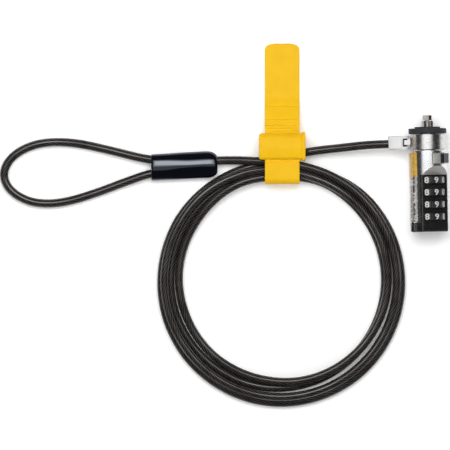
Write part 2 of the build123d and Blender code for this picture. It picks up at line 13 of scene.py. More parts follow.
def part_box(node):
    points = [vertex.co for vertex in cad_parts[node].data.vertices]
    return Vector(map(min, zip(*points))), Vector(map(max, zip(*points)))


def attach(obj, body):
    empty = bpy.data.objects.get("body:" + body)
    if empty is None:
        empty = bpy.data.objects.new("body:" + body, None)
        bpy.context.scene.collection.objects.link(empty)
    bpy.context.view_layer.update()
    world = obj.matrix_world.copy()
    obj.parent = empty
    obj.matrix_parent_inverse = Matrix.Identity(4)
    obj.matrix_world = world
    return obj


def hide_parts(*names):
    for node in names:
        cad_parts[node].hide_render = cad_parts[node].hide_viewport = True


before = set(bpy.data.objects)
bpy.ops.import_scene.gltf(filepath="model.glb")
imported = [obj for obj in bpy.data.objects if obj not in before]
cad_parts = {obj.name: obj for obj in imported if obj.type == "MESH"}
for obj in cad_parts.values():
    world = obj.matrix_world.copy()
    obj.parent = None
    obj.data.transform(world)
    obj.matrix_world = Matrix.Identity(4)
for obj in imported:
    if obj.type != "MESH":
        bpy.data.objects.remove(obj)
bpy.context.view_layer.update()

MM = 0.001
TABLE_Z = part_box("cable_coil")[0].z

# ---- camera: straight down, from the height that shows 270 mm across the table ------------------
VIEW_WIDTH = 0.27
VIEW_CENTRE = Vector((-0.1224, -0.05625, -0.005))
VIEW_HEIGHT = 4.0
VIEW_ROLL = math.radians(-1.2)


def add_camera():
    data = bpy.data.cameras.new("camera")
    data.sensor_width = 36
    data.lens = data.sensor_width * VIEW_HEIGHT / VIEW_WIDTH
    data.clip_start = 0.01
    camera = bpy.data.objects.new("camera", data)
    camera.location = VIEW_CENTRE + Vector((0, 0, VIEW_HEIGHT))
    camera.rotation_euler = (0, 0, VIEW_ROLL)
    bpy.context.collection.objects.link(camera)
    bpy.context.scene.camera = camera


add_camera()

# ---- small helpers --------------------------------------------------------------------------


def smooth(low, high, x):
    """0 below low, 1 above high, and an even S between them."""
    t = min(max((x - low) / (high - low), 0.0), 1.0)
    return t * t * (3 - 2 * t)


def mesh_piece(name, points, faces, material, body, uv=None):
    """A closed mesh from its points and faces, with its faces turned outward, riding on a body."""
    mesh = bpy.data.meshes.new(name)
    mesh.from_pydata([tuple(p) for p in points], [], faces)
    if uv is not None:
        layer = mesh.uv_layers.new(name="UVMap")
        layer.data.foreach_set("uv", np.asarray(uv, np.float32).ravel())
    form = bmesh.new()
    form.from_mesh(mesh)
    bmesh.ops.recalc_face_normals(form, faces=form.faces[:])
    form.to_mesh(mesh)
    form.free()
    mesh.materials.append(material)
    mesh.polygons.foreach_set("use_smooth", [True] * len(mesh.polygons))
    mesh.update()
    piece = bpy.data.objects.new(name, mesh)
    bpy.context.collection.objects.link(piece)
    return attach(piece, body)


# ---- materials ------------------------------------------------------------------------------


class Paint:
    """A Principled material and the nodes that give it its detail."""

    def __init__(self, name, colour, roughness, metallic=0.0, **sockets):
        self.material = bpy.data.materials.new(name)
        self.material.use_nodes = True
        self.tree = self.material.node_tree
        self.shader = self.tree.nodes["Principled BSDF"]
        self.set("Base Color", (*colour, 1))
        self.set("Roughness", roughness)
        self.set("Metallic", metallic)
        for socket, value in sockets.items():
            self.set(socket.replace("_", " "), value)
        self.place = self.node("ShaderNodeTexCoord").outputs["Object"]

    def set(self, socket, value):
        self.shader.inputs[socket].default_value = value

    def feed(self, socket, value):
        """Links the value to the socket, or sets it when it is a constant."""
        if isinstance(value, bpy.types.NodeSocket):
            self.tree.links.new(value, socket)
        else:
            socket.default_value = value

    def node(self, kind, **inputs):
        made = self.tree.nodes.new(kind)
        for name, value in inputs.items():
            self.feed(made.inputs[name.replace("_", " ")], value)
        return made

    def link(self, output, socket):
        self.tree.links.new(output, self.shader.inputs[socket])

    def noise(self, size_mm, detail=3.0, stretch=(1, 1, 1), vector=None):
        """Noise whose blotches are about size_mm across."""
        mapping = self.node("ShaderNodeMapping", Vector=vector or self.place, Scale=stretch)
        return self.node("ShaderNodeTexNoise", Vector=mapping.outputs["Vector"],
                         Scale=1 / (size_mm * MM), Detail=detail).outputs["Fac"]

    def span(self, value, low, high, start=0.0, end=1.0):
        """The value's low to high, mapped to start to end."""
        made = self.node("ShaderNodeMapRange", Value=value)
        for socket, number in zip(("From Min", "From Max", "To Min", "To Max"), (low, high, start, end)):
            made.inputs[socket].default_value = number
        return made.outputs["Result"]

    def math(self, operation, a, b=0.0):
        made = self.tree.nodes.new("ShaderNodeMath")
        made.operation = operation
        self.feed(made.inputs[0], a)
        self.feed(made.inputs[1], b)
        return made.outputs["Value"]

    def mix(self, factor, first, second):
        """Two colours, mixed by a factor."""
        made = self.tree.nodes.new("ShaderNodeMix")
        made.data_type = "RGBA"
        self.feed(made.inputs["Factor"], factor)
        for socket, value in zip((made.inputs[6], made.inputs[7]), (first, second)):
            self.feed(socket, (*value, 1) if isinstance(value, (tuple, list)) else value)
        return made.outputs[2]

    def bump(self, height, depth_mm, strength=1.0):
        made = self.node("ShaderNodeBump", Height=height, Distance=depth_mm * MM, Strength=strength)
        self.link(made.outputs["Normal"], "Normal")


HINGE_Y = -9.15 * MM        # the middle of the hinge's tongue
# painted shade: a near-black colour laid into the hinge's slots between the fork's walls and the tongue,
# where shade falls
SLOT_SHADE = (0.006, 0.005, 0.005)
SLOT_SHADE_EDGE = 0.03 * MM       # how soon it fades out, sideways
SLOT_SHADE_FROM = (-15.22 * MM, -15.17 * MM)      # just past the fork's root
SLOT_SHADE_UNTIL = (-11.4 * MM, -11.8 * MM)       # just short of the collar
NO_LIMIT = 1.0


def hinge_slot_shade(paint, near, far):
    """The mask of painted shade in the hinge's slots: 1 between two distances from the tongue's middle,
    from the fork's root to the collar, or else 0.
    """
    split = paint.node("ShaderNodeSeparateXYZ", Vector=paint.place)
    off = paint.math("ABSOLUTE", paint.math("SUBTRACT", split.outputs["Y"], HINGE_Y))
    beside = paint.math("MULTIPLY", paint.span(off, near - SLOT_SHADE_EDGE, near + SLOT_SHADE_EDGE),
                        paint.span(off, far + SLOT_SHADE_EDGE, far - SLOT_SHADE_EDGE))
    in_fork = paint.math("MULTIPLY", paint.span(split.outputs["X"], *SLOT_SHADE_FROM),
                         paint.span(split.outputs["X"], *SLOT_SHADE_UNTIL))
    return paint.math("MULTIPLY", beside, in_fork)


def metal(name, colour, roughness, blotch_mm=3.0, grain=(1, 1, 1), bump_mm=0.004, shine=1.0, tint=0.86,
          slot_shade=None):
    """Plated or bare metal with handling marks, a fine grain, and maybe painted shade in the slots beside
    the hinge's tongue.
    """
    paint = Paint(name, colour, roughness, metallic=shine)
    marks = paint.noise(blotch_mm, detail=4)
    paint.link(paint.span(marks, 0.3, 0.7, roughness * 0.75, roughness * 1.35), "Roughness")
    worn = [c * tint for c in colour]
    shade = paint.mix(paint.span(marks, 0.35, 0.75), colour, worn)
    # painted shade: the slots beside the hinge's tongue are darkened to near black
    if slot_shade:
        shade = paint.mix(hinge_slot_shade(paint, *slot_shade), shade, SLOT_SHADE)
    paint.link(shade, "Base Color")
    paint.bump(paint.noise(0.25, detail=2, stretch=grain), bump_mm)
    return paint.material


def plastic(name, colour, roughness, grain_mm=0.2, bump_mm=0.01, coat=0.0):
    """Moulded plastic with a fine sparkle of texture and faint handling marks."""
    paint = Paint(name, colour, roughness, Coat_Weight=coat, Coat_Roughness=0.08)
    marks = paint.noise(4.0, detail=5)
    paint.link(paint.span(marks, 0.3, 0.7, roughness * 0.8, roughness * 1.3), "Roughness")
    lighter = [min(c * 1.5 + 0.004, 1) for c in colour]
    paint.link(paint.mix(paint.span(marks, 0.45, 0.8), colour, lighter), "Base Color")
    paint.bump(paint.noise(grain_mm, detail=2), bump_mm)
    return paint.material


ROPE_LAY = 0.037            # the length in which a strand goes once round the rope
ROPE_STRANDS = 10
ROPE_GAP = (0.0015, 0.0015, 0.002)
ROPE_WIRE = (0.044, 0.038, 0.035)


def cable_jacket():
    """Clear smoke plastic over a twisted steel rope. UV: x is metres along, y is turns round."""
    paint = Paint("cable_jacket", ROPE_WIRE, 0.6, Specular_IOR_Level=0.0,
                  Coat_Weight=1.0, Coat_Roughness=0.05, Coat_IOR=1.65)
    split = paint.node("ShaderNodeSeparateXYZ", Vector=paint.node("ShaderNodeUVMap").outputs["UV"])
    twist = paint.math("MULTIPLY", split.outputs["X"], ROPE_STRANDS / ROPE_LAY)
    round_it = paint.math("MULTIPLY", split.outputs["Y"], ROPE_STRANDS)
    strand = paint.math("SUBTRACT", twist, round_it)
    across = paint.math("PINGPONG", strand, 0.5)
    crown = paint.span(across, 0.05, 0.34)
    marks = paint.noise(5.0, detail=4)
    shade = paint.math("MULTIPLY", crown, paint.span(marks, 0.3, 0.7, 0.55, 1.25))
    paint.link(paint.mix(shade, ROPE_GAP, ROPE_WIRE), "Base Color")
    paint.link(paint.span(crown, 0, 1, 0.65, 0.5), "Roughness")
    paint.bump(crown, 0.25, 0.6)
    ripple = paint.node("ShaderNodeBump", Height=paint.noise(9.0, detail=1), Distance=0.22 * MM)
    paint.link(ripple.outputs["Normal"], "Coat Normal")
    along = paint.node("ShaderNodeCombineXYZ", X=split.outputs["X"])
    gloss = paint.noise(45.0, detail=1, vector=along.outputs["Vector"])
    paint.link(paint.span(gloss, 0.38, 0.58, 0.3, 0.85), "Coat Weight")
    return paint.material


# ---- the cable: its route, and the tube that follows it ----------------------------------------
CABLE_R = 0.0025
LOW = 2.5                   # heights of a turn's middle over the table, in mm
HIGH = 7.4
COIL_CENTRE = (-88.7, -91.0)
POINTS_PER_TURN = 30

LEAD = [(-18.5, -9.8, 0.0), (-34.0, -9.8, 0.0), (-51.0, -11.4, -3.4), (-68.0, -12.8, -6.4),
        (-80.0, -14.9, -7.2)]
TAIL = [(-108.0, -17.9, -5.85), (-117.0, -17.5, -7.05), (-126.1, -17.5, -7.05),
        (-150.0, -17.5, -7.05), (-168.0, -16.2, -7.05)]
LOOP = [(-190.5, -9.9, -8.45), (-212.5, -4.6, -8.85), (-230.5, -4.2, -8.85), (-243.5, -8.3, -8.85),
        (-251.8, -14.9, -8.85), (-255.2, -23.2, -8.85), (-252.3, -31.4, -8.85), (-244.7, -37.6, -8.85),
        (-234.3, -41.2, -8.85), (-219.3, -41.0, -8.85), (-200.0, -35.7, -8.85), (-182.5, -29.4, -8.45),
        (-166.0, -24.0, -7.05), (-150.0, -22.9, -7.05), (-134.5, -22.9, -7.05)]


TURNS = [(72.4, 0.9, 225), (64.8, 3.0, 160), (63.0, 2.4, 75), (70.1, 1.2, 150)]
# each turn's middle radius, how much further out it bows, in mm, and where, in degrees


def turn_shape(number, angle):
    """A turn's radius and height at an angle, as it would lie if it met no other turn."""
    middle, bow, bows_at = TURNS[number]
    radius = middle + bow * math.cos(math.radians(angle - bows_at))
    if number < 2:
        return radius, LOW
    if number == 2:
        dip = smooth(108, 168, angle % 360) - smooth(235, 292, angle % 360)
        return radius, HIGH + (LOW - HIGH) * dip
    return radius, HIGH


CROSSINGS = [(345, 60), (718, 60), (1092, 60)]      # where each turn becomes the next, and over how far


def coil_profile():
    """Radius and height at each point round all the turns, from the top of the first one."""
    count = len(TURNS) * POINTS_PER_TURN + 1
    places = []
    for i in range(count):
        travelled = 360.0 * i / POINTS_PER_TURN
        angle = 90.0 + travelled
        radius, height = turn_shape(0, angle)
        for number, (middle, width) in enumerate(CROSSINGS, start=1):
            share = smooth(middle - width / 2, middle + width / 2, travelled)
            other = turn_shape(number, angle)
            radius += (other[0] - radius) * share
            height += (other[1] - height) * share
        places.append([radius, height])
    return places


def settle(places, gap=2 * CABLE_R / MM, rounds=60):
    """Pushes apart the turns that would lie in each other, where they pass the same angle."""
    for _ in range(rounds):
        for i in range(len(places)):
            for j in range(i + POINTS_PER_TURN, len(places), POINTS_PER_TURN):
                across = places[j][0] - places[i][0]
                up = places[j][1] - places[i][1]
                apart = math.hypot(across, up)
                if apart >= gap or apart == 0:
                    continue
                push = (gap - apart) / 2 / apart
                places[i][0] -= across * push
                places[j][0] += across * push
                places[i][1] = max(LOW, places[i][1] - up * push)
                places[j][1] = max(LOW, places[j][1] + up * push)
    return places


def coil_points():
    places = settle(coil_profile())
    points = []
    for i, (radius, height) in enumerate(places):
        angle = math.radians(90 + 360 * i / POINTS_PER_TURN)
        points.append((COIL_CENTRE[0] + radius * math.cos(angle),
                       COIL_CENTRE[1] + radius * math.sin(angle),
                       TABLE_Z / MM + height))
    return points


def route_line(points_mm):
    """The points down the middle of a cord's smooth line, through its NURBS spline."""
    data = bpy.data.curves.new("route", "CURVE")
    data.dimensions = "3D"
    data.resolution_u = 8
    spline = data.splines.new("NURBS")
    spline.points.add(len(points_mm) - 1)
    for point, place in zip(spline.points, points_mm):
        point.co = (*(Vector(place) * MM), 1)
    spline.use_endpoint_u = True
    spline.order_u = 3
    route = bpy.data.objects.new("route", data)
    mesh = bpy.data.meshes.new_from_object(route)
    line = [v.co.copy() for v in mesh.vertices]
    bpy.data.objects.remove(route)
    bpy.data.meshes.remove(mesh)
    bpy.data.curves.remove(data)
    return line


def tube(name, line, radius, material, body, sides=20):
    """A round tube along a line, with UVs in metres along it and turns round it."""
    points, faces, uv = [], [], []
    along = [0.0]
    for a, b in zip(line, line[1:]):
        along.append(along[-1] + (b - a).length)
    normal = Vector((0, 0, 1))
    for i, middle in enumerate(line):
        ahead = line[min(i + 1, len(line) - 1)] - line[max(i - 1, 0)]
        ahead.normalize()
        normal = (normal - ahead * normal.dot(ahead)).normalized()
        side = ahead.cross(normal)
        for k in range(sides):
            angle = 2 * math.pi * k / sides
            points.append(middle + (normal * math.cos(angle) + side * math.sin(angle)) * radius)
    for i in range(len(line) - 1):
        for k in range(sides):
            a, b = i * sides + k, i * sides + (k + 1) % sides
            faces.append((a, b, b + sides, a + sides))
            uv += [(along[i], k / sides), (along[i], (k + 1) / sides),
                   (along[i + 1], (k + 1) / sides), (along[i + 1], k / sides)]
    faces.append(tuple(reversed(range(sides))))
    faces.append(tuple(range(len(points) - sides, len(points))))
    uv += [(0, 0)] * (2 * sides)
    return mesh_piece(name, points, faces, material, body, uv), along[-1]


cable_line = route_line(LEAD + coil_points() + TAIL + LOOP)
cable, cable_length = tube("steel_cable", cable_line, CABLE_R, cable_jacket(), "cable")
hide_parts("cable_lead", "cable_coil", "cable_tail", "cable_loop")
print("cable length, m:", round(cable_length, 3))

# ---- CAD nodes: round faces shaded round, and a finish for each ---------------------------------
ROUND_UNDER = math.cos(math.radians(38))


def shade_round(node):
    """Shades a CAD node's round faces smooth and keeps its edges crisp, without moving a vertex."""
    mesh = node.data
    count = len(mesh.polygons)
    normals = np.zeros(count * 3)
    areas = np.zeros(count)
    mesh.polygons.foreach_get("normal", normals)
    mesh.polygons.foreach_get("area", areas)
    normals = normals.reshape(-1, 3)
    places = np.zeros(len(mesh.vertices) * 3)
    mesh.vertices.foreach_get("co", places)
    spots = [tuple(p) for p in np.round(places.reshape(-1, 3) * 1e6).astype(int)]
    meeting = {}
    for face in mesh.polygons:
        for vertex in face.vertices:
            meeting.setdefault(spots[vertex], []).append(face.index)
    corners = []
    for face in mesh.polygons:
        own = normals[face.index]
        for vertex in face.vertices:
            near = np.array(meeting[spots[vertex]])
            near = near[normals[near] @ own > ROUND_UNDER]
            total = (normals[near] * areas[near, None]).sum(0)
            corners.append(total / max(np.linalg.norm(total), 1e-12))
    mesh.polygons.foreach_set("use_smooth", [True] * count)
    mesh.normals_split_custom_set(corners)


CHROME = (0.80, 0.80, 0.81)
SATIN = (0.44, 0.425, 0.41)
FRONT = math.radians(30)            # the dials face this far from straight up
FACET_SLOPE = math.atan2(4.1, 5.6)  # its fall and its length along the barrel, in mm


def barrel_chrome():
    """Polished chrome, with the sloping facet over the dials left satin."""
    paint = Paint("barrel_chrome", CHROME, 0.22, metallic=1.0)
    facing = paint.node("ShaderNodeTexCoord").outputs["Normal"]
    facet = (math.sin(FRONT) * math.cos(FACET_SLOPE), -math.sin(FACET_SLOPE),
             math.cos(FRONT) * math.cos(FACET_SLOPE))
    toward = paint.tree.nodes.new("ShaderNodeVectorMath")
    toward.operation = "DOT_PRODUCT"
    paint.tree.links.new(facing, toward.inputs[0])
    toward.inputs[1].default_value = facet
    on_facet = paint.span(toward.outputs["Value"], 0.985, 0.998)
    marks = paint.span(paint.noise(3.0, detail=4), 0.3, 0.7, 0.20, 0.24)
    paint.link(paint.math("ADD", marks, paint.math("MULTIPLY", on_facet, 0.28)), "Roughness")
    paint.link(paint.mix(on_facet, CHROME, SATIN), "Base Color")
    paint.link(paint.span(on_facet, 0.0, 1.0, 1.0, 0.5), "Metallic")
    paint.bump(paint.noise(0.3, detail=2), 0.0015)
    return paint.material


PRINT_STARTS = (-11.4 * MM, -10.4 * MM)     # the outer edge of both labels is plain
PRINT_ROWS = 115.0                          # bands in a metre, before the wave's own scale


def label_film(name, ground, marks):
    """Printed film: a plain ground with broken soft marks of a second colour, which spell nothing."""
    paint = Paint(name, ground, 0.38, Coat_Weight=0.5, Coat_Roughness=0.15)
    rows = paint.node("ShaderNodeMapping", Vector=paint.place, Scale=(0.0, 0.0, 1.0))
    row = paint.node("ShaderNodeTexWave", Vector=rows.outputs["Vector"], Scale=PRINT_ROWS)
    row.bands_direction = "Z"
    lines = paint.span(row.outputs["Fac"], 0.15, 0.6, 0.35, 1.0)
    dashes = paint.span(paint.noise(1.3, detail=3, stretch=(0.6, 1.0, 0.6)), 0.40, 0.50)
    patches = paint.span(paint.noise(4.5, detail=1), 0.28, 0.40)
    ink = paint.math("MULTIPLY", paint.math("MULTIPLY", lines, dashes), patches)
    split = paint.node("ShaderNodeSeparateXYZ", Vector=paint.place)
    ink = paint.math("MULTIPLY", ink, paint.span(split.outputs["X"], *PRINT_STARTS))
    paint.link(paint.mix(ink, ground, marks), "Base Color")
    paint.bump(paint.noise(0.4, detail=2), 0.004)
    return paint.material


def finishes():
    """Each finish, and the CAD nodes that have it."""
    steel = metal("turned_steel", (0.42, 0.40, 0.38), 0.26, blotch_mm=1.5, grain=(1, 0.08, 1),
                  bump_mm=0.006)
    brass = metal("machined_brass", (0.17, 0.13, 0.075), 0.45, grain=(1, 0.1, 1))
    spring = metal("spring_steel", (0.45, 0.45, 0.47), 0.3)
    black = plastic("housing_black", (0.011, 0.0105, 0.011), 0.22, coat=0.7)
    wheel = plastic("wheel_black", (0.013, 0.013, 0.014), 0.32)
    spacer = plastic("spacer_grey", (0.06, 0.06, 0.06), 0.5)
    pad = plastic("pad_rubber", (0.018, 0.0185, 0.022), 0.7, grain_mm=0.15, bump_mm=0.03)
    lever = plastic("lever_black", (0.009, 0.010, 0.014), 0.3, coat=0.25)
    # painted shade darkens the fork's inner walls beside the tongue on the fitting, and the tongue's sides
    # on the collar
    nickel = metal("satin_nickel", (0.63, 0.63, 0.63), 0.5, blotch_mm=6.0, bump_mm=0.003, shine=0.25,
                   tint=0.94, slot_shade=(-NO_LIMIT, 2.43 * MM))
    chrome = metal("collar_chrome", (0.66, 0.65, 0.64), 0.24, bump_mm=0.0015,
                   slot_shade=(1.47 * MM, NO_LIMIT))
    saddle = metal("lever_chrome", (0.58, 0.56, 0.54), 0.40, bump_mm=0.003, shine=0.5)
    yellow = label_film("label_yellow_film", (0.66, 0.40, 0.06), (0.46, 0.24, 0.03))
    silver = label_film("label_silver_film", (0.55, 0.54, 0.51), (0.05, 0.036, 0.032))
    return [
        (steel, ["t_bar_spindle", "slot_pins", "nose_plate", "swivel_neck", "drum_pin", "fitting_pin"]),
        (brass, ["core_tube", "code_set_screw"] + [f"code_ring_{i}" for i in range(1, 5)]),
        (spring, ["click_spring", "detent_ball", "detent_spring", "crimp_ferrule"]),
        (black, ["dial_housing"]),
        (wheel, [f"number_wheel_{i}" for i in range(1, 5)]),
        (spacer, ["wheel_spacers"]),
        (pad, ["rubber_pad"]),
        (nickel, ["cable_fitting"]),
        (chrome, ["swivel_collar"]),
        (barrel_chrome(), ["barrel_shell"]),
        (saddle, ["lever_drum"]),
        (lever, ["lever_grip"]),
        (yellow, ["label_upper"]),
        (silver, ["label_lower"]),
    ]


for finish, names in finishes():
    for name in names:
        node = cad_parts[name]
        node.data.materials.clear()
        node.data.materials.append(finish)
        shade_round(node)

# ---- digits on the wheels ------------------------------------------------------------------------
DIGIT_HEIGHT = 3.5 * MM
DIGIT_RAISED = 0.05 * MM
DIGIT_BOLDER = 0.1 * MM
DIGIT_STRIP = 0.4 * MM
FONT_CAPS = 0.73            # the height of a digit in the font, for a size of 1
DIGIT_COUNT = 10
DIGIT_WIDEN = 1.2
TOP_DIGIT = 8
TOP_DIGIT_AT = math.radians(-8)


def digit_shape(text):
    """The triangles of one thin raised digit, centred, cut into strips so that it can bend."""
    data = bpy.data.curves.new("digit", "FONT")
    data.body = text
    data.align_x = "CENTER"
    data.size = DIGIT_HEIGHT / FONT_CAPS
    data.offset = DIGIT_BOLDER
    data.extrude = DIGIT_RAISED
    glyph = bpy.data.objects.new("digit", data)
    mesh = bpy.data.meshes.new_from_object(glyph)
    form = bmesh.new()
    form.from_mesh(mesh)
    for i in range(-4, 5):
        whole = form.verts[:] + form.edges[:] + form.faces[:]
        bmesh.ops.bisect_plane(form, geom=whole, plane_co=(i * DIGIT_STRIP, 0, 0), plane_no=(1, 0, 0))
    bmesh.ops.triangulate(form, faces=form.faces[:])
    low = min(v.co.y for v in form.verts)
    high = max(v.co.y for v in form.verts)
    points = [(v.co.x * DIGIT_WIDEN, v.co.y - (low + high) / 2, v.co.z) for v in form.verts]
    form.verts.index_update()
    faces = [tuple(v.index for v in f.verts) for f in form.faces]
    form.free()
    bpy.data.objects.remove(glyph)
    bpy.data.meshes.remove(mesh)
    bpy.data.curves.remove(data)
    return points, faces


def add_digits():
    """Ten printed digits wrapped round each wheel, one piece a wheel."""
    ink = Paint("digit_white", (0.56, 0.56, 0.55), 0.45)
    ink.link(ink.span(ink.noise(0.8, detail=3), 0.3, 0.7, 0.35, 0.6), "Roughness")
    ink.link(ink.mix(ink.span(ink.noise(1.5), 0.55, 0.8), (0.58, 0.57, 0.56), (0.36, 0.35, 0.34)),
             "Base Color")
    shapes = [digit_shape(str((i + TOP_DIGIT) % DIGIT_COUNT)) for i in range(DIGIT_COUNT)]
    for wheel in range(1, 5):
        low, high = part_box(f"number_wheel_{wheel}")
        middle = (low.y + high.y) / 2
        radius = (high.x - low.x) / 2
        points, faces = [], []
        for i, (shape, triangles) in enumerate(shapes):
            turn = TOP_DIGIT_AT + 2 * math.pi * i / DIGIT_COUNT
            first = len(points)
            for x, y, z in shape:
                angle = turn + x / radius
                out = radius + z
                points.append((out * math.sin(angle), middle + y, out * math.cos(angle)))
            faces += [tuple(first + v for v in face) for face in triangles]
        piece = mesh_piece(f"wheel_{wheel}_digits", points, faces, ink.material, f"wheel_{wheel}")


add_digits()

# ---- the loop's sleeve ------------------------------------------------------------------------------
SLEEVE_SIDES = 64
SLEEVE_WIDEN = 1.06
SLEEVE_TILT = 0.034         # it lies at a slight angle
SLEEVE_LOW = 0.65           # so that its mouth lies this far, in mm, below the CAD one
SLEEVE_SHOULDER = 6.4 * MM
SHOULDER_STEPS = 14
# mm from the mouth, and the shares of the full width and height there: the lip first, from inside it
SLEEVE_PROFILE = [(1.6, 0.76, 0.60), (0.0, 0.80, 0.64), (0.0, 0.92, 0.74), (0.35, 0.965, 0.80),
                  (1.0, 0.98, 0.86), (2.0, 0.985, 0.92), (3.2, 0.985, 0.955), (5, 0.985, 0.97),
                  (8, 0.987, 0.975), (11, 0.99, 0.98), (14, 0.995, 0.99), (17, 1.0, 1.0),
                  (20, 1.0, 1.0), (23, 1.0, 1.0), (26, 1.0, 1.0), (29, 1.0, 1.0), (32, 1.0, 0.99)]


def sleeve_ring(x, half_width, half_height, middle, squareness):
    """A rounded oval across the sleeve at x: 2 is an ellipse, and less has a sharper crown."""
    ring = []
    for k in range(SLEEVE_SIDES):
        angle = 2 * math.pi * k / SLEEVE_SIDES
        c, s = math.cos(angle), math.sin(angle)
        ring.append((x, middle.y + half_width * math.copysign(abs(c) ** (2 / squareness), c),
                     middle.z + half_height * math.copysign(abs(s) ** (2 / squareness), s)))
    return ring


def loft(rings):
    """Faces between rings of points, with both ends closed."""
    count = len(rings[0])
    points = [p for ring in rings for p in ring]
    faces = []
    for i in range(len(rings) - 1):
        for k in range(count):
            a, b = i * count + k, i * count + (k + 1) % count
            faces.append((a, b, b + count, a + count))
    faces.append(tuple(reversed(range(count))))
    faces.append(tuple(range(len(points) - count, len(points))))
    return points, faces


def add_sleeve():
    """Shrunk plastic over the ferrule: a flat mouth at the loop, a rounded shoulder at the cable."""
    low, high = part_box("loop_sleeve")
    middle = (low + high) / 2
    width, height = SLEEVE_WIDEN * (high.y - low.y) / 2, (high.z - low.z) / 2
    paint = Paint("sleeve_black", (0.0015, 0.002, 0.0045), 0.07, IOR=1.8,
                  Specular_Tint=(0.84, 0.92, 1.0, 1.0))
    paint.link(paint.span(paint.noise(6.0, detail=3), 0.3, 0.7, 0.05, 0.10), "Roughness")
    paint.bump(paint.noise(11.0, detail=1, stretch=(0.7, 0.5, 0.5)), 0.35, 0.8)
    rings = []
    for into, wide, tall in SLEEVE_PROFILE:
        centre = middle + Vector((0, (SLEEVE_TILT * into - SLEEVE_LOW) * MM, 0))
        squareness = 2.05 - 0.35 * smooth(6, 24, into)
        rings.append(sleeve_ring(low.x + into * MM, width * wide, height * tall, centre, squareness))
    for k in range(1, SHOULDER_STEPS + 1):      # the shoulder stays in line with the last ring
        done = k / SHOULDER_STEPS
        x = high.x - SLEEVE_SHOULDER * (1 - math.sin(math.pi / 2 * done))
        size = 0.5 + 0.5 * math.cos(math.pi / 2 * done)
        rings.append(sleeve_ring(x, width * size, height * (0.25 + 0.75 * size), centre,
                                 1.7 + 0.3 * done))
    points, faces = loft(rings)
    piece = mesh_piece("loop_sleeve_skin", points, faces, paint.material, "cable")
    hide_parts("loop_sleeve")
    return piece


sleeve = add_sleeve()

# ---- the strap --------------------------------------------------------------------------------------
STRAP_TURN = math.radians(-1.2)
STRAP_X = -86.9             # its middle, and its other sizes, in mm
STRAP_GOLD = (0.85, 0.50, 0.006)
STRAP_WORN = (0.82, 0.465, 0.005)
BAND_HALF = 10.4
BAND_THICK = 1.6
BAND_EDGE = 0.55
BAND_END = 5.0              # the free end is rounded over this length
BAND_END_POWER = 3.2        # 2 would be an ellipse, and more is squarer
BAND_END_BLUNT = 0.12       # so that the last ring keeps some width
BAND_LINE = [(52.0, 0.8), (20.0, 1.1), (-1.0, 9.0), (-19.5, 12.3), (-31.6, 12.3), (-31.6, 0.8),
             (-10.0, 0.8), (-8.5, 8.5)]
BAND_RADII = [14, 10, 6, 2.6, 2.6, 0.9]
GROOVES = [14.4, 6.4, 3.0, 1.2, -0.5, -2.2, -19.1]
GROOVE_DEEP = 0.35
GROOVE_WIDE = 0.34
GROOVED_LENGTH = 78         # of the band's line, from its free end
BUCKLE_LINE = [(-18.2, 12.2), (-16.9, 14.5), (-10.0, 15.4), (-4.2, 14.0), (-2.0, 11.0), (-2.2, 6.3),
               (-15.2, 8.6)]
BUCKLE_RADII = [1.0, 2.2, 12.0, 3.0, 1.6, 1.4, 2.0]
BUCKLE_FROM = -13.9         # where the bar and its flange start and end across the strap, in mm
BUCKLE_TO = 12.5
BUCKLE_EDGE = 1.3
FLANGE_FROM = 11.6
FLANGE_TO = 13.9
FLANGE_OUT = 0.9
FLANGE_EDGE = 0.9
BAR_EDGE_STEPS = 5


def strap_rubber():
    """Soft golden rubber, a little dull, with fine grain and faint handling marks."""
    paint = Paint("strap_rubber", STRAP_GOLD, 0.5, Specular_IOR_Level=0.14)
    marks = paint.noise(7.0, detail=4)
    paint.link(paint.mix(paint.span(marks, 0.35, 0.7), STRAP_GOLD, STRAP_WORN), "Base Color")
    paint.link(paint.span(paint.noise(2.5, detail=4), 0.3, 0.7, 0.42, 0.58), "Roughness")
    paint.bump(paint.noise(0.3, detail=3), 0.010)
    return paint.material


def round_corner(before, here, after, radius, step):
    """Points on the arc that rounds a corner of a flat line."""
    here = Vector(here)
    back, on = (Vector(before) - here).normalized(), (Vector(after) - here).normalized()
    half = back.angle(on) / 2
    reach = radius / math.tan(half)
    centre = here + (back + on).normalized() * (radius / math.sin(half))
    first, last = here + back * reach - centre, here + on * reach - centre
    swing = first.angle_signed(last)
    pieces = max(3, math.ceil(abs(swing) * radius / step))
    return [centre + Matrix.Rotation(-swing * k / pieces, 2) @ first for k in range(pieces + 1)]


def fill_gaps(points, step):
    """The same line with no two neighbours further apart than step."""
    filled = [points[0]]
    for point in points[1:]:
        start = filled[-1].copy()
        parts = max(1, math.ceil((point - start).length / step))
        filled += [start.lerp(point, (k + 1) / parts) for k in range(parts)]
    return filled


def on_strap(across, along, up):
    """A place on the strap, in mm across it, along it and over the table, in the frame."""
    turned = Matrix.Rotation(STRAP_TURN, 3, "Z") @ Vector((across, along, 0))
    return Vector((STRAP_X + turned.x, turned.y, up)) * MM + Vector((0, 0, TABLE_Z))


def band_half_width(travelled):
    """Full width, except towards the rounded free end."""
    short = max(1 - (travelled + BAND_END_BLUNT) / BAND_END, 0.0)
    return BAND_HALF * (1 - short ** BAND_END_POWER) ** (1 / BAND_END_POWER)


def band_section(half, groove):
    """Points round the band's cross-section: how far across, and how far out of its middle."""
    thick = BAND_THICK / 2
    section = []
    for side, face in ((1, 1), (-1, 1), (-1, -1), (1, -1)):
        turns = range(0, 91, 18) if side * face > 0 else range(90, -1, -18)
        for degrees in turns:
            a = math.radians(degrees)
            out = face * (thick - BAND_EDGE + BAND_EDGE * math.sin(a))
            section.append((side * (half - BAND_EDGE + BAND_EDGE * math.cos(a)),
                            out - groove if face > 0 else out))
    return section


